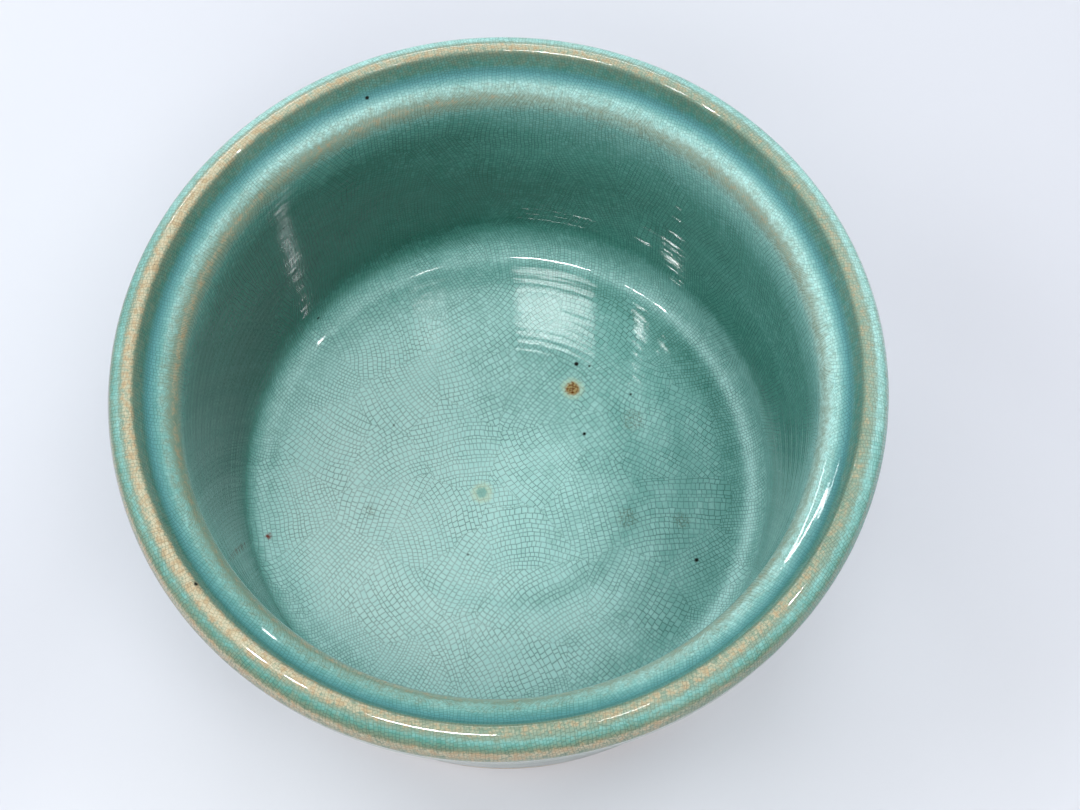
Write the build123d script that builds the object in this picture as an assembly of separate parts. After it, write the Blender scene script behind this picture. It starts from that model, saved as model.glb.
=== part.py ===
from build123d import *
import os

# A round stoneware bonsai pot: a thrown body with a turned foot and a rolled rim,
# under one fired coat of crackle glaze.
# Sizes are in millimetres. The pot stands on z = 0, and its axis is the Z axis.
# Each piece is a half section in (radius, height), turned once about the axis.
# Every size is the finished one, glaze included; the clay lies one glaze thickness inside it.

# Overall sizes
RIM_DIAMETER = 250.0        # across the widest line of the rolled rim
HEIGHT = 135.0              # from the foot's contact face to the crest of the rim

# Body
WALL = 10.4                 # wall thickness just under the rim
OUTER_TAPER = 1.1           # how far the outside comes in between the rim and the foot
INNER_TAPER = 1.7           # how far the inside comes in between the lip and the floor
FLOOR = 7.0                 # floor thickness over the recess
COVE_RADIUS = 8.0           # round between the inside wall and the floor

# Foot
FOOT_HEIGHT = 5.0           # depth of the recess inside the foot ring
FOOT_WIDTH = 12.0           # radial width of the foot ring
FOOT_BEVEL = 1.2            # bevel along both contact edges

# Rolled rim: crest, shoulder and belly
RIM_THICKNESS = 12.0        # from the belly to the foot of the riser
RIM_OVERHANG = 9.4          # how far the belly stands out past the wall
CREST_INSET = 9.6           # from the belly to the inner edge of the crest
CREST_WIDTH = 2.8
SHOULDER_INSET = 2.0        # from the belly to the shoulder
SHOULDER_DROP = 2.0         # from the crest to the shoulder
BELLY_TOP = 6.0             # from the crest down to the top of the belly
BELLY_BOTTOM = 12.0         # from the crest down to the bottom of the belly
ROLL_TUCK = 1.5             # how far the face of the roll comes back in at its lower edge
ROLL_DEPTH = 21.0           # from the crest down to the lower edge of the roll
UNDERCUT = 5.5              # drop of the sloping underside, from that edge to the wall

# Ledge inside the rim
LEDGE_DEPTH = 9.4           # from the crest down to the corner behind the ledge
LEDGE_FALL = 5.5            # how far the ledge drops on its way in to the lip

# Rounds
LIP_RADIUS = 8.0
CORNER_RADIUS = 3.0
CREST_INNER_RADIUS = 1.8
CREST_OUTER_RADIUS = 4.0
SHOULDER_RADIUS = 4.0
BELLY_TOP_RADIUS = 8.0
BELLY_BOTTOM_RADIUS = 16.0
ROLL_EDGE_RADIUS = 4.0
UNDERCUT_RADIUS = 5.0

# Glaze
GLAZE = 0.8                 # thickness of the fired coat
GLAZE_STOP = 7.0            # height of its lower edge on the outside

# Where the sections of the body meet
JOINT_BELOW_ROLL = 6.0      # the rim section starts this far under the roll

# Working margin: the outline runs this far past the axis and the base before it is trimmed
MARGIN = 30.0

# Places worked out from the sizes
belly_r = RIM_DIAMETER / 2
wall_out_r = belly_r - RIM_OVERHANG
wall_in_r = wall_out_r - WALL
foot_r = wall_out_r - OUTER_TAPER
floor_edge_r = wall_in_r - INNER_TAPER
corner_r = belly_r - RIM_THICKNESS
crest_in_r = belly_r - CREST_INSET
crest_out_r = crest_in_r + CREST_WIDTH
floor_z = FOOT_HEIGHT + FLOOR
cove_z = floor_z + COVE_RADIUS
corner_z = HEIGHT - LEDGE_DEPTH
roll_z = HEIGHT - ROLL_DEPTH
wall_top_z = roll_z - UNDERCUT
joint_z = wall_top_z - JOINT_BELOW_ROLL
margin_r = foot_r - OUTER_TAPER * MARGIN / wall_top_z       # the outside's taper, run on


def outline():
    """The finished section: corner points (radius, height) and the round at each."""
    corners = [
        (-MARGIN, floor_z, 0),
        (floor_edge_r, floor_z, COVE_RADIUS),
        (wall_in_r, corner_z - LEDGE_FALL, LIP_RADIUS),
        (corner_r, corner_z, CORNER_RADIUS),
        (crest_in_r, HEIGHT, CREST_INNER_RADIUS),
        (crest_out_r, HEIGHT, CREST_OUTER_RADIUS),
        (belly_r - SHOULDER_INSET, HEIGHT - SHOULDER_DROP, SHOULDER_RADIUS),
        (belly_r, HEIGHT - BELLY_TOP, BELLY_TOP_RADIUS),
        (belly_r, HEIGHT - BELLY_BOTTOM, BELLY_BOTTOM_RADIUS),
        (belly_r - ROLL_TUCK, roll_z, ROLL_EDGE_RADIUS),
        (wall_out_r, wall_top_z, UNDERCUT_RADIUS),
        (margin_r, -MARGIN, 0),
        (-MARGIN, -MARGIN, 0),
    ]
    points = [(r, z) for r, z, _ in corners]
    rounds = [radius for _, _, radius in corners]
    return make_face(FilletPolyline(*points, radius=rounds, close=True))


def band(low, high, inner=0.0, outer=belly_r + MARGIN):
    """A rectangle of the section plane, from one height and radius to another."""
    middle = Location(((inner + outer) / 2, (low + high) / 2, 0))
    return middle * Rectangle(outer - inner, high - low)


def turned(section):
    """The solid that a half section makes, turned once about the pot's axis."""
    return revolve(Plane.XZ * section, Axis.Z)


def foot_section(clay):
    """The foot ring, with both edges of its contact face bevelled."""
    ring = clay & band(0, FOOT_HEIGHT, inner=foot_r - GLAZE - FOOT_WIDTH)
    contact = ring.vertices().group_by(Axis.Y)[0]
    return chamfer(contact, FOOT_BEVEL)


finished = outline()
clay = offset(finished, -GLAZE)
coat = finished - clay
mid_wall_r = (floor_edge_r + foot_r) / 2

sections = {
    "foot_ring": foot_section(clay),
    "floor_slab": clay & band(FOOT_HEIGHT, cove_z),
    "wall_shell": clay & band(cove_z, joint_z),
    "rim_collar": clay & band(joint_z, HEIGHT),
    "interior_glaze": coat & band(FOOT_HEIGHT, joint_z, outer=mid_wall_r),
    "rim_glaze": coat & band(joint_z, HEIGHT),
    "exterior_glaze": coat & band(GLAZE_STOP, joint_z, inner=mid_wall_r),
}

os.makedirs("parts", exist_ok=True)
for name, section in sections.items():
    solid = turned(section)
    export_step(solid, f"parts/{name}.step")
    print(f"{name}: {solid.volume / 1000:.1f} cm3")
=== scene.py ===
import math

import bpy
import numpy as np
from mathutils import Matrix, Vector


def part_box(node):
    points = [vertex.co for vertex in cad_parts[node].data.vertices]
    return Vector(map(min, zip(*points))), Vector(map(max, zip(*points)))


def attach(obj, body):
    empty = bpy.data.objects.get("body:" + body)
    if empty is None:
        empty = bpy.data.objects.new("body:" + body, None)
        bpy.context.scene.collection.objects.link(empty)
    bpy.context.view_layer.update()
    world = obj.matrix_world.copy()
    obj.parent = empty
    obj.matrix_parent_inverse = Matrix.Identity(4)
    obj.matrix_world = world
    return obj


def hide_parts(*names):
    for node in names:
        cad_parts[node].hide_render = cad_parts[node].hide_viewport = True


# A celadon bonsai pot: one crackled glaze coat, in three pieces, over a turned clay body.
# Shapes are worked out in millimetres and become metres as each mesh is made.
# A run is a length along the pot's half section, from the middle of the floor, up the
# inside, over the rim and down the outside.

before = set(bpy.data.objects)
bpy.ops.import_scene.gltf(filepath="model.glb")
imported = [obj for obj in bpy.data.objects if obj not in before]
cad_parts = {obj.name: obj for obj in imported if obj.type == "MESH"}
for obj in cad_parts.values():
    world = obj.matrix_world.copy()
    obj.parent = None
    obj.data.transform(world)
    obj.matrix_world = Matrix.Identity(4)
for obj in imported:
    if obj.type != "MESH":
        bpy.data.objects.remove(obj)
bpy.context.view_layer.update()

# ---------------------------------------------------------------- sizes

MM = 0.001
rim_low, rim_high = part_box("rim_glaze")
base_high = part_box("floor_slab")[1]
foot_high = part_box("foot_ring")[1]

belly_r = rim_high.x / MM                               # widest line of the rim
height = rim_high.z / MM
joint_z = rim_low.z / MM                                # where the rim's glaze starts
foot_height = foot_high.z / MM
clay_foot_r = foot_high.x / MM
slab_top = base_high.z / MM
stop_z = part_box("exterior_glaze")[0].z / MM             # lower edge of the outside glaze

# The section's own sizes. The frame gives only boxes, so these repeat the CAD's.
GLAZE = 0.8                                             # thickness of the fired coat
WALL = 10.4
OVERHANG = 9.4                                          # of the belly past the wall
OUTER_TAPER = 1.1
INNER_TAPER = 1.7
COVE_RADIUS = 8.0
FOOT_WIDTH = 12.0
FOOT_BEVEL = 1.2
RIM_THICKNESS = 12.0                                    # from the belly to the foot of the riser
CREST_INSET = 9.6                                       # from the belly to the crest's inner edge
CREST_WIDTH = 2.8
SHOULDER_INSET = 2.0
SHOULDER_DROP = 2.0
BELLY_TOP = 6.0                                         # down from the crest
BELLY_BOTTOM = 12.0
ROLL_DEPTH = 21.0
ROLL_TUCK = 1.5
UNDERCUT = 5.5
LEDGE_DEPTH = 9.4
LEDGE_FALL = 5.5

# Rounds
LIP_RADIUS = 8.0
CORNER_RADIUS = 3.0
CREST_INNER_RADIUS = 1.8
CREST_OUTER_RADIUS = 4.0
SHOULDER_RADIUS = 4.0
BELLY_TOP_RADIUS = 8.0
BELLY_BOTTOM_RADIUS = 16.0
ROLL_EDGE_RADIUS = 4.0
UNDERCUT_RADIUS = 5.0

floor_z = slab_top - COVE_RADIUS
wall_out_r = belly_r - OVERHANG
wall_in_r = wall_out_r - WALL
foot_r = wall_out_r - OUTER_TAPER
floor_edge_r = wall_in_r - INNER_TAPER
corner_r = belly_r - RIM_THICKNESS
corner_z = height - LEDGE_DEPTH
lip_z = corner_z - LEDGE_FALL
roll_z = height - ROLL_DEPTH
tuck_z = roll_z - UNDERCUT
crest_in_r = belly_r - CREST_INSET
stop_r = foot_r + OUTER_TAPER * stop_z / tuck_z

# The finished section: radius, height and the round at each corner, floor to foot.
SECTION = [
    (0.0, floor_z, 0.0),
    (floor_edge_r, floor_z, COVE_RADIUS),
    (wall_in_r, lip_z, LIP_RADIUS),
    (corner_r, corner_z, CORNER_RADIUS),
    (crest_in_r, height, CREST_INNER_RADIUS),
    (crest_in_r + CREST_WIDTH, height, CREST_OUTER_RADIUS),
    (belly_r - SHOULDER_INSET, height - SHOULDER_DROP, SHOULDER_RADIUS),
    (belly_r, height - BELLY_TOP, BELLY_TOP_RADIUS),
    (belly_r, height - BELLY_BOTTOM, BELLY_BOTTOM_RADIUS),
    (belly_r - ROLL_TUCK, roll_z, ROLL_EDGE_RADIUS),
    (wall_out_r, tuck_z, UNDERCUT_RADIUS),
    (stop_r, stop_z, 0.0),
]

# The glaze along the section: radius, height, how deep it lies, how thin it has run over an
# edge, and how much has pooled in a hollow, the last three from 0 to 1. Each place is taken
# from a named place of the section, in millimetres, and the shares are listed.
DEPTH, THIN, POOL = 2, 3, 4                             # columns of COAT
COAT = [
    (0.0, floor_z, 0.29, 0.0, 0.0),
    (floor_edge_r - 30, floor_z, 0.29, 0.0, 0.0),
    (floor_edge_r - 14, floor_z, 0.36, 0.0, 0.0),
    (floor_edge_r - 8, floor_z, 0.42, 0.0, 0.0),
    (floor_edge_r - 5, floor_z + 0.6, 0.38, 0.0, 0.0),
    (floor_edge_r - 1, floor_z + 5, 0.44, 0.0, 0.0),
    # Up the inside wall the glaze is set deep and dark: partly deeper glaze, partly painted shade inside
    # the pot.
    (floor_edge_r, floor_z + 12, 0.58, 0.0, 0.0),
    (floor_edge_r, floor_z + 24, 0.78, 0.0, 0.0),
    (wall_in_r - 1, floor_z + 50, 0.82, 0.0, 0.0),
    (wall_in_r, lip_z - 22, 0.74, 0.0, 0.0),
    (wall_in_r, lip_z - 8, 0.56, 0.15, 0.0),
    (wall_in_r, lip_z - 3, 0.42, 0.60, 0.0),
    (wall_in_r + 1.2, lip_z, 0.36, 0.80, 0.0),
    (wall_in_r + 2.8, lip_z + 1.8, 0.34, 0.45, 0.0),
    (wall_in_r + 5.0, lip_z + 3.2, 0.34, 0.28, 0.0),
    (corner_r - 2.6, corner_z - 1.6, 0.38, 0.12, 0.20),
    (corner_r - 0.6, corner_z, 0.46, 0.0, 1.0),
    (corner_r + 0.3, corner_z + 1.6, 0.55, 0.10, 0.85),
    (corner_r + 0.9, corner_z + 3.6, 0.60, 0.32, 0.0),
    (belly_r - 10.2, height - 2.2, 0.60, 0.50, 0.0),
    (belly_r - 8.8, height - 0.2, 0.50, 0.95, 0.0),
    (belly_r - 7.4, height, 0.40, 1.0, 0.0),
    (belly_r - 5.8, height - 0.4, 0.36, 0.78, 0.0),
    (belly_r - 4.6, height - 1.0, 0.36, 0.29, 0.0),
    (belly_r - 3.0, height - 1.7, 0.38, 0.29, 0.0),
    (belly_r - 1.4, height - 2.9, 0.44, 0.52, 0.0),
    (belly_r - 0.4, height - 5.0, 0.46, 0.38, 0.0),
    (belly_r, height - 9.0, 0.42, 0.15, 0.0),
    (belly_r - 1.6, roll_z, 0.40, 0.45, 0.0),
    (wall_out_r + 1.2, tuck_z + 1.2, 0.70, 0.0, 0.50),
    (wall_out_r, tuck_z - 10, 0.50, 0.0, 0.0),
    (foot_r, 30.0, 0.46, 0.0, 0.0),
    (foot_r, stop_z + 4.0, 0.60, 0.0, 0.25),
    (stop_r, stop_z, 0.70, 0.0, 0.60),
]

AROUND = 384                                            # steps round the pot
turn = np.arange(AROUND) * 2 * np.pi / AROUND

# ---------------------------------------------------------------- section


def rounded(corners, step=0.1):
    """Points (radius, height), a step apart, along the outline with each corner rounded."""
    line = []
    for i, (r, z, radius) in enumerate(corners):
        here = np.array((r, z))
        if radius == 0:
            line.append(here)
            continue
        back = np.array(corners[i - 1][:2]) - here
        onward = np.array(corners[i + 1][:2]) - here
        back /= np.linalg.norm(back)
        onward /= np.linalg.norm(onward)
        half = math.acos(back @ onward) / 2
        middle = (back + onward) / np.linalg.norm(back + onward)
        centre = here + middle * radius / math.sin(half)
        arm = here + back * radius / math.tan(half) - centre
        end = here + onward * radius / math.tan(half) - centre
        sweep = math.atan2(arm[0] * end[1] - arm[1] * end[0], arm @ end)
        for a in np.linspace(0, sweep, max(3, math.ceil(abs(sweep) * radius / step))):
            c, s = math.cos(a), math.sin(a)
            line.append(centre + (arm[0] * c - arm[1] * s, arm[0] * s + arm[1] * c))
    dense = [line[0]]
    for point in line[1:]:
        start = dense[-1]
        count = max(1, math.ceil(np.linalg.norm(point - start) / step))
        dense += [start + (point - start) * k / count for k in range(1, count + 1)]
    return np.array(dense)


BEND_WINDOW = 15                                        # points that the bend is averaged over
BEND_STEP = 0.2                                         # radians of bend between two rows

skin = rounded(SECTION)
skin_run = np.concatenate([[0], np.cumsum(np.linalg.norm(np.diff(skin, axis=0), axis=1))])
skin_along = np.gradient(skin, skin_run, axis=0)
skin_along /= np.linalg.norm(skin_along, axis=1)[:, None]
skin_out = np.stack([-skin_along[:, 1], skin_along[:, 0]], 1)
skin_bend = np.abs(np.gradient(np.unwrap(np.arctan2(skin_along[:, 1], skin_along[:, 0])), skin_run))
skin_bend = np.convolve(skin_bend, np.ones(BEND_WINDOW) / BEND_WINDOW, "same")
crest = int(np.argmax(skin[:, 1]))
crest_run = skin_run[crest]
lip_run = skin_run[int(np.argmin(np.abs(skin[:crest, 1] - lip_z)))]


def run_at(z, outside):
    """Run of the skin's point at a height, inside or outside the crest."""
    part = skin[crest:, 1] if outside else skin[:crest, 1]
    return skin_run[(crest if outside else 0) + int(np.argmin(np.abs(part - z)))]


def coat_at(run, column):
    """One column of COAT along the section."""
    runs, values, first = [], [], 0
    for stop in COAT:
        first += int(np.argmin(np.hypot(skin[first:, 0] - stop[0], skin[first:, 1] - stop[1])))
        runs.append(skin_run[first])
        values.append(stop[column])
    return np.interp(run, runs, values)[:, None]


def spaced(start, end, widest):
    """Runs from start to end, closer together where the section bends."""
    gap = np.minimum(widest, BEND_STEP / np.maximum(skin_bend, 1e-3))
    steps = np.concatenate([[0], np.cumsum(np.diff(skin_run) / gap[1:])])
    low, high = np.interp((start, end), skin_run, steps)
    return np.interp(np.linspace(low, high, math.ceil(high - low) + 1), steps, skin_run)


def on_skin(run, inward):
    """Section points at these runs, moved inward. inward may differ round the pot."""
    point = np.stack([np.interp(run, skin_run, skin[:, k]) for k in (0, 1)], -1)
    out = np.stack([np.interp(run, skin_run, skin_out[:, k]) for k in (0, 1)], -1)
    out /= np.linalg.norm(out, axis=-1)[..., None]
    inward = np.broadcast_to(inward, (len(run), AROUND))
    return point[:, None, :] - out[:, None, :] * inward[..., None]


# ---------------------------------------------------------------- relief

inside_joint = run_at(joint_z, False)
outside_joint = run_at(joint_z, True)
wall_foot_run = run_at(slab_top, False)
last_run = skin_run[-1]

MOST_RELIEF = 0.5                                       # furthest that the surface dips
EVEN_DIP = 0.10
WAVE_DIP = 0.07
WALL_RIDGE = 0.04                                       # height and pitch of the wall's ridges
WALL_RIDGE_PITCH = 9.5

# Rings left on the floor by the throwing: radius, width, depth, and the side where each is deepest.
THROWN_RINGS = [
    (16.0, 4.0, 0.05, 1.0),
    (34.0, 5.0, 0.05, 4.0),
    (53.5, 4.5, 0.13, 5.2),
    (73.0, 4.0, 0.10, 5.4),
    (89.0, 4.5, 0.12, 0.6),
]


def hand_waves(run, count, longest, seed):
    """Smooth unevenness from -1 to 1, closed round the pot."""
    draw = np.random.default_rng(seed)
    total = np.zeros((len(run), AROUND))
    for _ in range(count):
        around, pitch, phase = draw.integers(1, 6), longest * draw.uniform(0.35, 1), draw.uniform(0, 6.3)
        total += np.sin(around * turn[None, :] + 2 * np.pi * run[:, None] / pitch + phase)
    return total / count


def thrown(run):
    """How deep the throwing rings are, in millimetres, over the floor and up the wall."""
    groove = np.zeros((len(run), AROUND))
    for radius, width, depth, side in THROWN_RINGS:
        sway = 1.2 * np.sin(turn + side) + 0.5 * np.sin(3 * turn + 2 * side)
        shape = np.exp(-(((run[:, None] - radius - sway[None, :]) / width) ** 2))
        groove += depth * shape * (0.55 + 0.45 * np.cos(turn - side))[None, :]
    climb = turn + 0.6 * np.sin(2 * turn)
    ridge = 0.5 + 0.5 * np.sin(2 * np.pi * run[:, None] / WALL_RIDGE_PITCH + climb[None, :])
    up_wall = np.clip((run - wall_foot_run) / 12, 0, 1) * np.clip((inside_joint + 8 - run) / 10, 0, 1)
    down_wall = np.clip((run - outside_joint) / 8, 0, 1)
    return groove + WALL_RIDGE * ridge * (up_wall + down_wall)[:, None]


def relief(run):
    """How far the fired surface lies inside the section, in millimetres."""
    uneven = EVEN_DIP + WAVE_DIP * hand_waves(run, 7, 120.0, 3)
    off_axis = np.clip(run / 8, 0, 1)[:, None]
    return np.clip(thrown(run) + uneven, 0, MOST_RELIEF) * off_axis + EVEN_DIP * (1 - off_axis)


# ---------------------------------------------------------------- meshes


def lathe(name, rows, ends, coat=None):
    """A closed mesh round the axis from rows (points, AROUND, 2) of radius and height.

    The rows go once round the section, or from axis to axis. ends are the rows with a sharp edge.
    """
    flat = np.stack([rows[..., 0] * np.cos(turn), rows[..., 0] * np.sin(turn), rows[..., 1]], 2)
    poles = {i for i in (0, len(rows) - 1) if np.abs(rows[i, :, 0]).max() < 1e-6}
    first = np.concatenate([[0], np.cumsum([1 if i in poles else AROUND for i in range(len(rows))])])
    points = np.concatenate([flat[i, :1] if i in poles else flat[i] for i in range(len(rows))])
    here = np.arange(AROUND)
    after = (here + 1) % AROUND
    faces = []
    for i in range(len(rows) if not poles else len(rows) - 1):
        j = (i + 1) % len(rows)
        if i in poles:
            block = np.stack([np.full(AROUND, first[i]), first[j] + here, first[j] + after], 1)
        elif j in poles:
            block = np.stack([first[i] + here, np.full(AROUND, first[j]), first[i] + after], 1)
        else:
            block = np.stack([first[i] + here, first[j] + here, first[j] + after, first[i] + after], 1)
        faces += block[:, ::-1].tolist()
    mesh = bpy.data.meshes.new(name)
    mesh.from_pydata((points * MM).tolist(), [], faces)
    mesh.shade_smooth()
    sharpen(mesh, first, ends)
    for key, values in (coat or {}).items():
        spread = np.concatenate([values[i, :1] if i in poles else values[i] for i in range(len(rows))])
        layer = mesh.attributes.new(key, "FLOAT", "POINT")
        layer.data.foreach_set("value", spread.astype(np.float32))
    mesh.validate()
    mesh.update()
    piece = bpy.data.objects.new(name, mesh)
    bpy.context.scene.collection.objects.link(piece)
    return piece


def sharpen(mesh, first, ends):
    """Marks the edges that run round the pot in the rows named in ends as sharp."""
    row_of = np.searchsorted(first, np.arange(len(mesh.vertices)), "right") - 1
    pairs = np.zeros(len(mesh.edges) * 2, np.int32)
    mesh.edges.foreach_get("vertices", pairs)
    pairs = row_of[pairs.reshape(-1, 2)]
    crease = (pairs[:, 0] == pairs[:, 1]) & np.isin(pairs[:, 0], list(ends))
    layer = mesh.attributes.get("sharp_edge") or mesh.attributes.new("sharp_edge", "BOOLEAN", "EDGE")
    layer.data.foreach_set("value", crease)


def ring_tone(run):
    """The throwing rings hold slightly deeper glaze, mostly on the floor."""
    on_floor = np.clip((floor_edge_r + 6 - run) / 10, 0, 1)[:, None]
    return thrown(run) * (0.2 + 0.35 * on_floor)


def painted_shade_and_ridge(run):
    """Painted light and shade, as glaze set deeper or paler round the pot: the floor deeper towards +X
    and paler towards -X, the inner wall deeper towards -X and paler towards +X, the rim and the outside
    deeper on the near (-Y) side; and a paler band along the floor's edge ridge on the +X side.
    """
    share = run / floor_edge_r
    on_floor = share * np.clip(1 - share ** 6, 0, 1)
    on_wall = np.clip((run - floor_edge_r) / 10, 0, 1) * np.clip((crest_run - run) / 6, 0, 1)
    on_rim = np.clip((run - lip_run) / 4, 0, 1)
    outside = np.clip((run - crest_run - 3) / 4, 0, 1)
    ridge = np.exp(-(((run - floor_edge_r + 5) / 3) ** 2))
    floor_shade = 0.24 * on_floor[:, None] * np.cos(turn - 0.5)
    ridge_side = -0.13 * ridge[:, None] * np.clip(np.cos(turn - 0.1), 0, 1)
    wall_shade = -0.16 * (on_wall * (1 - 0.9 * on_rim))[:, None] * np.cos(turn - 0.3)
    near = np.clip(0.4 - np.sin(turn + 0.3), 0, 1.4)
    rim_shade = 0.24 * (outside + 0.4 * on_rim * (1 - outside))[:, None] * near
    return floor_shade + ridge_side + wall_shade + rim_shade


def near_face_shade(run):
    """Painted shade: the roll's near (-Y) face is made greyer, with thinner glaze."""
    outside = np.clip((run - crest_run - 4) / 4, 0, 1) * np.clip((outside_joint - run) / 6, 0, 1)
    return 0.58 * outside[:, None] * np.clip(-np.sin(turn + 0.3), 0, 1)


def glaze_piece(name, start, end, widest, node):
    """A stretch of the glaze coat from one run to another, as a closed shell."""
    run = spaced(start, end, widest)
    back_run = run[::-2] if (len(run) % 2) else np.concatenate([run[:0:-2], run[:1]])
    front = on_skin(run, relief(run))
    back = on_skin(back_run, GLAZE)
    if start == 0:
        front[0, :, 0] = 0
        back[-1, :, 0] = 0
    if end < last_run:
        back[0, :, 1] = front[-1, :, 1] = joint_z
    if start > 0:
        back[-1, :, 1] = front[0, :, 1] = joint_z
    if end == last_run:
        front, back = rounded_edge(front, back)
    rows = np.concatenate([front, back])
    both = np.concatenate([run, back_run])
    wavy = hand_waves(both, 6, 90.0, 5)
    even = np.ones(AROUND)
    # Random blotches, and painted shade in the cosine term: thinner, more olive glaze towards -X.
    blotchy_and_left_shade = 1 + 0.20 * hand_waves(both, 6, 60.0, 9) - 0.15 * np.cos(turn)
    # The depth and thin below also carry painted shade round the pot.
    coat = {
        "run": both[:, None] * even,
        "depth": coat_at(both, DEPTH) + 0.04 * wavy + ring_tone(both) + painted_shade_and_ridge(both),
        "thin": coat_at(both, THIN) * blotchy_and_left_shade + near_face_shade(both),
        "pool": coat_at(both, POOL) * (0.94 + 0.20 * wavy + 0.12 * np.sin(turn)),
    }
    ends = {0, len(front) - 1, len(front), len(rows) - 1} if start > 0 else {len(front) - 1, len(front)}
    piece = lathe(name, rows, ends, coat)
    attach(piece, "root")
    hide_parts(node)
    return piece


def rounded_edge(front, back):
    """Gives the glaze's lower edge a rolled, uneven end a little above its limit."""
    reach = 14.0                                        # height over which the rows are moved
    roll = 1.6                                          # height of the rolled end
    least = 0.25                                        # thickness left at the very edge
    rise = 0.9 + 0.5 * np.sin(3 * turn + 1) + 0.35 * np.sin(7 * turn) + 0.15 * np.sin(16 * turn + 2)
    for rows in (front, back):
        share = np.clip((stop_z + reach - rows[..., 1]) / reach, 0, 1)
        rows[..., 1] += share * rise[None, :]
    low = front[-1, :, 1]
    thick = np.clip((front[..., 1] - low[None, :]) / roll, 0, 1)
    front[..., 0] -= (GLAZE - least) * (1 - np.sqrt(1 - (1 - thick) ** 2))
    return front, back


def base_clay():
    """The clay under the floor: glazed over above, bare and turned below."""
    spiral_pitch = 4.2
    spiral_depth = 0.22
    recess = 0.5                                        # how far the tool cut in past the nub
    nub_r = 5.0
    side_r = clay_foot_r
    top_r = side_r + OUTER_TAPER * (slab_top - foot_height) / tuck_z
    cove_run = spaced(0, wall_foot_run, 3.0)
    top = on_skin(cove_run, GLAZE)
    top[0, :, 0] = 0
    top[-1, :, 1] = slab_top
    side = np.linspace((top_r, slab_top), (side_r, foot_height), 14)
    under_r = np.linspace(side_r, 0, 150)
    inside_foot = np.clip((side_r - FOOT_WIDTH - 1.0 - under_r) / 1.5, 0, 1)[:, None]
    spiral = 0.5 + 0.5 * np.sin(2 * np.pi * under_r[:, None] / spiral_pitch + turn[None, :])
    spiral = spiral_depth * spiral * np.clip(under_r / 12, 0, 1)[:, None]
    nub = np.exp(-((under_r / nub_r) ** 2))[:, None]
    lift = inside_foot * (spiral + recess * (1 - nub))
    under = np.stack(np.broadcast_arrays(under_r[:, None], foot_height + lift), 2)
    side = np.repeat(side[:, None, :], AROUND, axis=1)
    rows = np.concatenate([top, side, under[1:]])
    piece = lathe("turned_base", rows, {len(top) - 1, len(top)})
    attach(piece, "root")
    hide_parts("floor_slab")
    return piece


def foot_clay():
    """The turned foot ring, with its contact edges softened and a little uneven."""
    inner = clay_foot_r - FOOT_WIDTH
    soft = 0.6
    corners = [
        (inner, foot_height, 0.0),
        (inner, FOOT_BEVEL, soft),
        (inner + FOOT_BEVEL, 0.0, soft),
        (clay_foot_r - FOOT_BEVEL, 0.0, soft),
        (clay_foot_r, FOOT_BEVEL, soft),
        (clay_foot_r, foot_height, 0.0),
    ]
    line = rounded(corners, 0.35)
    rows = np.repeat(line[:, None, :], AROUND, axis=1)
    worn = 0.12 * (0.5 + 0.5 * np.sin(5 * turn + 1.5)) + 0.08 * (0.5 + 0.5 * np.sin(13 * turn))
    middle = (inner + clay_foot_r) / 2
    near_contact = np.exp(-(((line[:, 1] - 0.5) / 0.9) ** 2))
    inwards = np.sign(middle - line[:, 0]) * near_contact
    rows[..., 0] += inwards[:, None] * worn[None, :]
    piece = lathe("turned_foot", rows, {0, len(line) - 1})
    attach(piece, "root")
    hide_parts("foot_ring")
    return piece


# ---------------------------------------------------------------- shader graphs


def tint(red, green, blue, alpha=1.0):
    """A colour given as screen values from 0 to 255, for a shader."""
    linear = [((c / 255 + 0.055) / 1.055) ** 2.4 if c > 10 else c / 3295 for c in (red, green, blue)]
    return (*linear, alpha)


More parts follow.
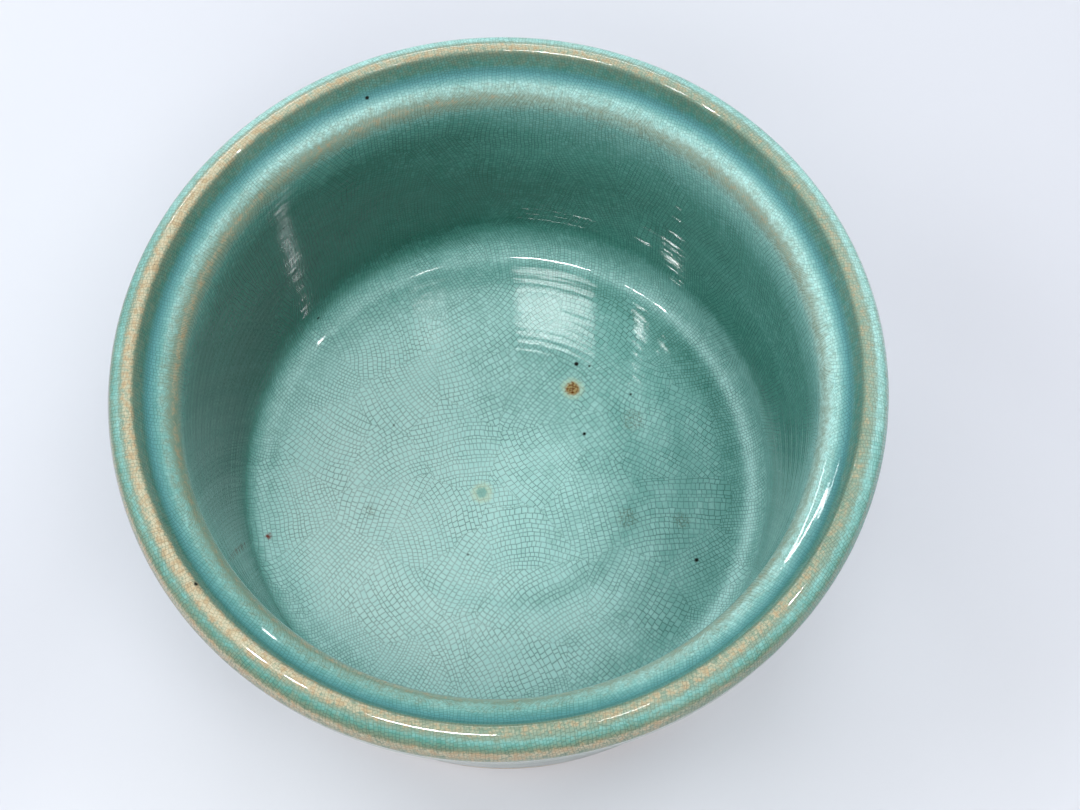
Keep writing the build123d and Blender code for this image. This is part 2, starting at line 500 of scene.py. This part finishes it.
class Graph:
    """A material, with short ways to add nodes to it."""

    def __init__(self, name):
        self.material = bpy.data.materials.new(name)
        self.material.use_nodes = True
        self.tree = self.material.node_tree
        self.tree.nodes.clear()
        self.shader = self.node("ShaderNodeBsdfPrincipled")
        out = self.node("ShaderNodeOutputMaterial")
        self.feed(out.inputs["Surface"], self.shader.outputs[0])

    def feed(self, socket, value):
        if isinstance(value, bpy.types.NodeSocket):
            self.tree.links.new(value, socket)
        else:
            socket.default_value = value

    def node(self, kind, inputs=None, **settings):
        made = self.tree.nodes.new(kind)
        for key, value in settings.items():
            setattr(made, key, value)
        for key, value in (inputs or {}).items():
            self.feed(made.inputs[key], value)
        return made

    def math(self, operation, *values):
        return self.node("ShaderNodeMath", dict(enumerate(values)), operation=operation).outputs[0]

    def vector(self, operation, *values, scale=None):
        inputs = dict(enumerate(values))
        if scale is not None:
            inputs["Scale"] = scale
        made = self.node("ShaderNodeVectorMath", inputs, operation=operation)
        return made.outputs["Value" if operation in ("LENGTH", "DISTANCE", "DOT_PRODUCT") else "Vector"]

    def join(self, x, y, z=0.0):
        return self.node("ShaderNodeCombineXYZ", {0: x, 1: y, 2: z}).outputs[0]

    def split(self, vector):
        return self.node("ShaderNodeSeparateXYZ", {0: vector}).outputs

    def smooth(self, value, low, high, bottom=0.0, top=1.0):
        inputs = {0: value, 1: low, 2: high, 3: bottom, 4: top}
        return self.node("ShaderNodeMapRange", inputs, interpolation_type="SMOOTHSTEP").outputs[0]

    def mix(self, factor, a, b, blend="MIX"):
        inputs = {0: factor, 6: a, 7: b}
        return self.node("ShaderNodeMix", inputs, data_type="RGBA", blend_type=blend).outputs[2]

    def noise(self, vector, size, detail=2.0, rough=0.5):
        """Noise whose features are about this many millimetres across."""
        inputs = {"Vector": vector, "Scale": 1 / size, "Detail": detail, "Roughness": rough}
        return self.node("ShaderNodeTexNoise", inputs).outputs

    def attribute(self, name):
        return self.node("ShaderNodeAttribute", attribute_name=name).outputs["Fac"]

    def place(self):
        """The point on the object, in millimetres."""
        here = self.node("ShaderNodeTexCoord").outputs["Object"]
        return self.vector("SCALE", here, scale=1 / MM)

    def ramp(self, value, stops):
        made = self.node("ShaderNodeValToRGB", {0: value})
        line = made.color_ramp.elements
        line[0].position, line[0].color = stops[0]
        line[1].position, line[1].color = stops[-1]
        for where, colour in stops[1:-1]:
            line.new(where).color = colour
        return made.outputs[0]

    def bump(self, height_mm, under=None):
        inputs = {"Height": height_mm, "Distance": MM, "Strength": 1.0}
        if under is not None:
            inputs["Normal"] = under
        return self.node("ShaderNodeBump", inputs).outputs[0]


# ---------------------------------------------------------------- crackle

PATCH = 30.0                    # width of a patch whose cracks run the same way
FLOOR_CELL = 2.0                # widths of the cells between cracks
WALL_CELL = 1.35
RIM_CELL = 1.15


def strips(g, along, random):
    """Cracks across one direction: the gap to the nearest, in spacings, and each strip's draw."""
    line = {"W": along, "Scale": 1.0, "Randomness": random}
    gap = g.node("ShaderNodeTexVoronoi", line, voronoi_dimensions="1D", feature="DISTANCE_TO_EDGE")
    strip = g.node("ShaderNodeTexVoronoi", line, voronoi_dimensions="1D")
    return gap.outputs["Distance"], g.split(strip.outputs["Color"])


def floor_flow(g, away, draw):
    """On the floor the cracks follow arcs about a point some way off the patch, and the rays from it."""
    swing = g.math("MULTIPLY", draw[0], 2 * math.pi)
    cos, sin = g.math("COSINE", swing), g.math("SINE", swing)
    u = g.math("ADD", g.math("MULTIPLY", away[0], cos), g.math("MULTIPLY", away[1], sin))
    v = g.math("SUBTRACT", g.math("MULTIPLY", away[1], cos), g.math("MULTIPLY", away[0], sin))
    arm = g.math("ADD", g.math("MULTIPLY", draw[1], 90.0), 45.0)
    reach = g.math("ADD", u, arm)
    arc = g.vector("LENGTH", g.join(reach, v))
    sweep = g.math("MULTIPLY", g.math("ARCTAN2", v, reach), arm)
    return g.join(arc, sweep)


def wall_flow(g, here, middle, run, draw, wave):
    """On the wall and rim they follow the pot round and the section up, with a slight random lean."""
    radius = g.vector("LENGTH", g.join(here[0], here[1]))
    cross = g.math("SUBTRACT", g.math("MULTIPLY", here[1], middle[0]),
                   g.math("MULTIPLY", here[0], middle[1]))
    along = g.math("ADD", g.math("MULTIPLY", here[0], middle[0]), g.math("MULTIPLY", here[1], middle[1]))
    round_pot = g.math("MULTIPLY", g.math("ARCTAN2", cross, along), radius)
    climb = g.math("ADD", run, wave)
    lean = g.math("MULTIPLY", g.math("SUBTRACT", draw[0], 0.5), 0.8)
    cos, sin = g.math("COSINE", lean), g.math("SINE", lean)
    wall_u = g.math("ADD", g.math("MULTIPLY", round_pot, cos), g.math("MULTIPLY", climb, sin))
    wall_v = g.math("SUBTRACT", g.math("MULTIPLY", climb, cos), g.math("MULTIPLY", round_pot, sin))
    return g.join(wall_u, wall_v)


def crackle(g, place, run):
    """The crack net: the gap to the nearest crack and the cell size, in millimetres, and a tone."""
    warp = g.vector("SUBTRACT", g.noise(place, 15.0, 1.0)["Color"], (0.5, 0.5, 0.5))
    bent = g.vector("ADD", place, g.vector("SCALE", warp, scale=7.0))
    here = g.split(bent)
    lift = g.math("ADD", g.math("MAXIMUM", g.math("SUBTRACT", here[2], floor_z + 8.0), 0.0), PATCH / 2)
    level = {"Vector": g.join(here[0], here[1], lift), "Scale": 1 / PATCH, "Randomness": 0.85}
    patch = g.node("ShaderNodeTexVoronoi", level)
    patch_gap = g.node("ShaderNodeTexVoronoi", level, feature="DISTANCE_TO_EDGE").outputs["Distance"]
    middle = g.split(patch.outputs["Position"])
    draw = g.split(patch.outputs["Color"])

    # A patch is floor or wall as a whole, so that its cells never tear.
    middle_r = g.vector("LENGTH", g.join(middle[0], middle[1]))
    edge = floor_edge_r - 12.0
    is_wall = g.math("GREATER_THAN", middle_r, edge)
    is_wall = g.math("MAXIMUM", is_wall, g.math("GREATER_THAN", here[2], floor_z + 6.0))
    rising = g.smooth(middle_r, floor_edge_r - 30.0, floor_edge_r - 2.0)
    lean = g.vector("SUBTRACT", g.noise(place, 26.0, 1.0)["Color"], (0.5, 0.5, 0.5))
    here = g.split(g.vector("ADD", place, g.vector("SCALE", lean, scale=5.0)))
    away = (g.math("SUBTRACT", here[0], middle[0]), g.math("SUBTRACT", here[1], middle[1]))
    wave = g.math("MULTIPLY", g.split(lean)[2], 5.0)
    flows = {0: is_wall, 4: floor_flow(g, away, draw), 5: wall_flow(g, here, middle, run, draw, wave)}
    net = g.node("ShaderNodeMix", flows, data_type="VECTOR").outputs[1]

    # Long cracks first, then rungs between each pair of them.
    on_rim = g.math("ADD", g.smooth(run, lip_run - 4.0, lip_run + 4.0, 0.0, RIM_CELL - WALL_CELL),
                    g.smooth(run, outside_joint - 12.0, outside_joint, 0.0, WALL_CELL - RIM_CELL))
    cell = g.math("ADD", g.smooth(rising, 0.0, 1.0, FLOOR_CELL, WALL_CELL), on_rim)
    size = g.math("MULTIPLY", cell, g.math("ADD", 0.93, g.math("MULTIPLY", draw[2], 0.14)))
    shake = g.vector("SUBTRACT", g.noise(place, 4.5, 1.0)["Color"], (0.5, 0.5, 0.5))
    net = g.vector("ADD", net, g.vector("SCALE", shake, scale=1.0))
    net = g.vector("DIVIDE", net, g.join(size, size, 1.0))
    net = g.vector("ADD", net, g.vector("SCALE", patch.outputs["Color"], scale=40.0))
    flat = g.split(net)
    long_gap, strip = strips(g, flat[0], 0.8)
    offset = g.math("MULTIPLY", strip[0], 61.0)         # so that rungs don't line up across a crack
    rung_gap, rung = strips(g, g.math("ADD", flat[1], offset), 0.85)
    gap = g.math("MULTIPLY", g.math("MINIMUM", long_gap, rung_gap), size)
    border = g.math("ADD", g.math("MULTIPLY", patch_gap, PATCH), 0.09)
    return g.math("MINIMUM", gap, border), size, rung[1]


# ---------------------------------------------------------------- marks in the glaze

def place_at(bearing, reach, level):
    """A place on the pot: degrees round from +X towards +Y, a radius and a height, in millimetres."""
    turn = math.radians(bearing)
    return (reach * math.cos(turn), reach * math.sin(turn), level)


def on_floor(bearing, share):
    """A place on the floor, at a share of its radius."""
    return place_at(bearing, share * floor_edge_r, floor_z)


# Small kiln marks, as a place and a radius in millimetres.
SPECKS = [
    (on_floor(60, 0.55), 0.9),
    (on_floor(55, 0.57), 0.5),
    (on_floor(35, 0.60), 0.5),
    (on_floor(30, 0.35), 0.7),
    (on_floor(155, 0.50), 0.4),
    (on_floor(245, 0.35), 0.4),
    (on_floor(-25, 0.80), 0.8),
    (place_at(140, floor_edge_r, floor_z + COVE_RADIUS), 0.7),
    (place_at(115, corner_r, corner_z), 0.7),
    (place_at(220, crest_in_r, height), 0.9),
]
SMUDGES = [
    (on_floor(-20, 0.50), 4.0),
    (on_floor(-15, 0.70), 3.2),
    (on_floor(25, 0.55), 4.5),
    (on_floor(195, 0.55), 2.5),
]
RUST_SPOT = (on_floor(55, 0.45), 2.9)
RED_SPOT = (on_floor(195, 0.95), 1.1)
PIT = (on_floor(215, 0.12), 2.1)
HALOS = [(RUST_SPOT[0], 4.6), (PIT[0], 4.2)]


def spot(g, place, mark, soft):
    """1 inside a mark, fading to 0 across a soft edge."""
    where, radius = mark
    gap = g.vector("DISTANCE", place, where)
    return g.smooth(gap, radius - soft, radius + soft, 1.0, 0.0)


def spots(g, place, marks, soft):
    """1 inside any of the marks."""
    total = spot(g, place, marks[0], soft)
    for mark in marks[1:]:
        total = g.math("MAXIMUM", total, spot(g, place, mark, soft))
    return total


# ---------------------------------------------------------------- materials

RIPPLE_PITCH = 3.8
COMB_PITCH = 0.9                # of the tool marks in the bare clay

# The glaze's colour, from shallow to deep.
GLAZE_RAMP = [
    (0.00, tint(220, 250, 245)),
    (0.30, tint(185, 231, 226)),
    (0.46, tint(132, 188, 181)),
    (0.62, tint(80, 144, 132)),
    (0.78, tint(38, 102, 87)),
    (1.00, tint(16, 72, 57)),
]


def celadon():
    """Crackled celadon glaze: buff where it has run thin, blue-green where it has pooled."""
    g = Graph("celadon_glaze")
    place = g.place()
    fine = g.noise(place, 0.8, 3.0, 0.7)["Fac"]
    broad = g.noise(place, 38.0, 2.0)["Fac"]
    cloud = g.noise(place, 9.0, 3.0, 0.6)["Fac"]
    run = g.attribute("run")
    thin = g.attribute("thin")
    gap, size, tone = crackle(g, place, run)

    grain = g.math("MULTIPLY", g.math("SUBTRACT", fine, 0.5), 0.12)
    drift = g.math("ADD", g.math("MULTIPLY", g.math("SUBTRACT", broad, 0.5), 0.12),
                   g.math("MULTIPLY", g.math("SUBTRACT", cloud, 0.5), 0.08))
    cells = g.math("MULTIPLY", g.math("SUBTRACT", tone, 0.5), 0.06)
    deep = g.math("ADD", g.math("ADD", g.attribute("depth"), grain), g.math("ADD", drift, cells))
    colour = g.ramp(deep, GLAZE_RAMP)
    pool = g.math("MULTIPLY", g.attribute("pool"), g.math("ADD", 0.85, grain))
    colour = g.mix(pool, colour, tint(98, 160, 164))

    # Over the edges the clay shows through: olive first, then buff, in grains and blotches.
    mottle = g.noise(place, 2.4, 3.0, 0.65)["Fac"]
    uneven = g.math("ADD", g.math("MULTIPLY", g.math("SUBTRACT", fine, 0.5), 0.8),
                    g.math("MULTIPLY", g.math("SUBTRACT", mottle, 0.5), 0.9))
    broken = g.math("ADD", thin, uneven)
    olive = g.smooth(broken, 0.10, 0.80)
    colour = g.mix(g.math("MULTIPLY", olive, 0.75), colour, tint(134, 144, 120))
    buff = g.smooth(broken, 0.72, 1.15)
    warm = g.mix(g.smooth(mottle, 0.42, 0.62), tint(208, 196, 166), tint(190, 164, 128))
    colour = g.mix(g.math("MULTIPLY", buff, 0.8), colour, warm)

    # Cell middles are paler, and the cracks are stained, some more than others.
    share = g.math("DIVIDE", gap, size)
    pale = g.smooth(share, 0.0, 0.35, 0.95, 1.02)
    colour = g.mix(1.0, colour, g.join(pale, pale, pale), "MULTIPLY")
    width = g.math("ADD", g.smooth(size, 1.2, 2.2, 0.11, 0.15), g.math("MULTIPLY", cloud, 0.08))
    crack = g.math("SUBTRACT", 1.0, g.smooth(gap, g.math("MULTIPLY", width, 0.3), width))
    stain = g.smooth(g.noise(place, 13.0, 2.0, 0.6)["Fac"], 0.30, 0.72, 0.50, 0.90)
    faint = g.math("ADD", g.smooth(run, lip_run - 8.0, lip_run + 4.0, 1.0, 0.55),
                   g.smooth(run, outside_joint - 12.0, outside_joint, 0.0, 0.45))
    stain = g.math("MULTIPLY", stain, faint)
    dark = g.mix(1.0, colour, (0.28, 0.36, 0.34, 1.0), "MULTIPLY")
    colour = g.mix(g.math("MULTIPLY", crack, stain), colour, dark)

    # Iron specks where the glaze is thin, and the kiln marks.
    iron = g.smooth(g.noise(place, 0.55, 1.0)["Fac"], 0.70, 0.78)
    colour = g.mix(g.math("MULTIPLY", iron, g.math("MULTIPLY", thin, 0.75)), colour, tint(92, 74, 52))
    shift = g.vector("SUBTRACT", g.noise(place, 1.6, 2.0, 0.7)["Color"], (0.5, 0.5, 0.5))
    ragged = g.vector("ADD", place, g.vector("SCALE", shift, scale=2.2))
    blotch = g.math("MULTIPLY", spots(g, ragged, SMUDGES, 1.6), g.smooth(fine, 0.42, 0.62))
    colour = g.mix(g.math("MULTIPLY", blotch, 0.55), colour, tint(104, 112, 92))
    halo = spots(g, ragged, HALOS, 1.3)
    colour = g.mix(g.math("MULTIPLY", halo, 0.45), colour, tint(214, 226, 190))
    rust = spot(g, ragged, RUST_SPOT, 0.9)
    colour = g.mix(g.math("MULTIPLY", rust, 0.85), colour, tint(176, 140, 70))
    core = g.math("MULTIPLY", rust, g.smooth(fine, 0.46, 0.58))
    colour = g.mix(core, colour, tint(104, 56, 22))
    colour = g.mix(g.math("MULTIPLY", spot(g, ragged, PIT, 0.7), 0.6), colour, tint(84, 170, 166))
    colour = g.mix(spot(g, ragged, RED_SPOT, 0.7), colour, tint(120, 48, 30))
    colour = g.mix(spots(g, place, SPECKS, 0.25), colour, tint(26, 34, 28))

    # Orange peel, and fine ripples that run round the pot: heights in millimetres.
    peel = g.math("MULTIPLY", g.noise(place, 5.0, 2.0)["Fac"], 0.030)
    across = g.split(place)
    around = g.math("ARCTAN2", across[1], across[0])
    ripple = g.math("SINE", g.math("ADD", g.math("MULTIPLY", run, 2 * math.pi / RIPPLE_PITCH), around))
    skin_height = g.math("ADD", peel, g.math("MULTIPLY", ripple, g.math("MULTIPLY", broad, 0.024)))

    g.feed(g.shader.inputs["Base Color"], colour)
    g.feed(g.shader.inputs["Roughness"], g.smooth(cloud, 0.3, 0.7, 0.03, 0.07))
    g.feed(g.shader.inputs["Normal"], g.bump(skin_height))
    g.shader.inputs["IOR"].default_value = 1.52
    return g.material


def stoneware():
    """Bare fired clay: buff, with darker grains, iron specks and fine tool marks."""
    g = Graph("clay_body")
    place = g.place()
    grain = g.noise(place, 0.7, 4.0, 0.7)["Fac"]
    cloud = g.noise(place, 22.0, 3.0)["Fac"]
    colour = g.ramp(g.math("ADD", g.math("MULTIPLY", grain, 0.7), g.math("MULTIPLY", cloud, 0.3)), [
        (0.28, tint(158, 130, 102)),
        (0.52, tint(190, 168, 138)),
        (0.74, tint(208, 192, 166)),
    ])
    iron = g.smooth(g.noise(place, 1.3, 1.0)["Fac"], 0.69, 0.74)
    colour = g.mix(g.math("MULTIPLY", iron, 0.8), colour, tint(70, 46, 34))
    across = g.split(place)
    radius = g.vector("LENGTH", g.join(across[0], across[1]))
    comb = g.math("SINE", g.math("MULTIPLY", g.math("ADD", radius, across[2]), 2 * math.pi / COMB_PITCH))
    rough = g.math("ADD", g.math("MULTIPLY", grain, 0.16), g.math("MULTIPLY", comb, 0.012))
    g.feed(g.shader.inputs["Base Color"], colour)
    g.feed(g.shader.inputs["Roughness"], g.smooth(grain, 0.3, 0.7, 0.70, 0.92))
    g.feed(g.shader.inputs["Normal"], g.bump(rough))
    return g.material


def backdrop_sheet():
    """A pale, smooth studio sheet that drifts slightly in tone."""
    g = Graph("backdrop_sheet")
    place = g.place()
    drift = g.noise(place, 420.0, 1.0)["Fac"]
    colour = g.ramp(drift, [(0.35, tint(203, 205, 213)), (0.65, tint(208, 211, 218))])
    g.feed(g.shader.inputs["Base Color"], colour)
    g.shader.inputs["Roughness"].default_value = 0.38
    return g.material


# ---------------------------------------------------------------- the pot

glaze = celadon()
clay = stoneware()

shells = [
    glaze_piece("glaze_inside", 0.0, inside_joint, 1.3, "interior_glaze"),
    glaze_piece("glaze_rim", inside_joint, outside_joint, 0.6, "rim_glaze"),
    glaze_piece("glaze_outside", outside_joint, last_run, 1.1, "exterior_glaze"),
]
for shell in shells:
    shell.data.materials.append(glaze)

bodies = [base_clay(), foot_clay(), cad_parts["wall_shell"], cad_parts["rim_collar"]]
for body in bodies:
    body.data.materials.clear()
    body.data.materials.append(clay)

# ---------------------------------------------------------------- studio


def studio_floor():
    """The sheet under the pot."""
    half = 3.0                                          # in metres
    corners = [(-half, -half, 0), (half, -half, 0), (half, half, 0), (-half, half, 0)]
    mesh = bpy.data.meshes.new("studio_floor")
    mesh.from_pydata(corners, [], [(0, 1, 2, 3)])
    sheet = bpy.data.objects.new("studio_floor", mesh)
    bpy.context.scene.collection.objects.link(sheet)
    mesh.materials.append(backdrop_sheet())


WHITE = (1.0, 1.0, 1.0)
COOL = (0.95, 0.98, 1.0)
WARM = (1.0, 0.98, 0.98)
BOX_DISTANCE = 2.0
BOX_SIZE = (0.8, 0.8)


def lamp(name, azimuth, elevation, distance, size, power, colour, shape="RECTANGLE"):
    """An area light aimed at the pot. Azimuth 0 is the far side, +Y, and 90 is +X."""
    area = bpy.data.lights.new(name, "AREA")
    area.shape = shape
    area.size, area.size_y = size
    area.energy = power
    area.color = colour
    a, e = math.radians(azimuth), math.radians(elevation)
    arm = Vector((math.sin(a) * math.cos(e), math.cos(a) * math.cos(e), math.sin(e)))
    light = bpy.data.objects.new(name, area)
    light.location = Vector((0, 0, height * MM)) + arm * distance
    light.rotation_euler = (-arm).to_track_quat("-Z", "Y").to_euler()
    bpy.context.scene.collection.objects.link(light)
    return light


def soft_box(name, azimuth, elevation, power, colour):
    """A wide box that lights the surfaces and is not seen in the glaze."""
    lamp(name, azimuth, elevation, BOX_DISTANCE, BOX_SIZE, power, colour).visible_glossy = False


def strip(name, azimuth, elevation, distance, size, power, shape="ELLIPSE"):
    """A small bright light that shows only as a reflection in the glaze."""
    lamp(name, azimuth, elevation, distance, size, power, WHITE, shape).visible_diffuse = False


def room_light(strength, colour):
    """Even light from all round."""
    world = bpy.data.worlds.new("room_light")
    world.use_nodes = True
    background = world.node_tree.nodes["Background"]
    background.inputs["Color"].default_value = (*colour, 1.0)
    background.inputs["Strength"].default_value = strength
    bpy.context.scene.world = world


def camera():
    """Looks down into the pot from its near side."""
    tilt = 0.375                                        # from straight down, in radians
    view = bpy.data.cameras.new("view")
    view.lens = 43.33
    view.sensor_width = 36.0
    seen = bpy.data.objects.new("view", view)
    seen.location = (0.0132, -0.1661, 0.5121)
    seen.rotation_euler = (tilt, 0, 0)
    bpy.context.scene.collection.objects.link(seen)
    bpy.context.scene.camera = seen


studio_floor()
camera()
room_light(0.20, (0.94, 0.97, 1.0))

# An even ring of boxes and one overhead. The near and near right boxes are stronger, and the
# near left one is weaker.
EVEN, STRONG, NEAR, WEAK = 9.0, 14.0, 11.0, 5.0
LOW, HIGH, OVERHEAD = 40, 60, 85
for name, azimuth in (("far_box", 0), ("far_right_box", 45), ("left_box", -90), ("far_left_box", -45)):
    soft_box(name, azimuth, LOW, EVEN, COOL)
soft_box("top_box", 0, OVERHEAD, EVEN, COOL)
soft_box("near_left_box", -135, LOW, WEAK, COOL)
soft_box("near_box", 180, LOW, NEAR, WARM)
soft_box("near_right_box", 135, HIGH, STRONG, WARM)
strip("near_left_strip", -157, 68, 1.5, (0.38, 0.21), 11.0)
strip("near_right_strip", 146, 67, 1.5, (0.18, 0.05), 1.2)
strip("left_strip", -108, 63, 1.6, (0.06, 0.10), 4.5)
strip("left_high_strip", -117, 66, 1.6, (0.06, 0.12), 2.2)
strip("right_strip", 100, 57, 1.7, (0.045, 0.055), 3.2)
strip("far_strip", -14, 24, 1.6, (2.0, 0.05), 8.6, "RECTANGLE")

bpy.context.scene.view_settings.view_transform = "Standard"
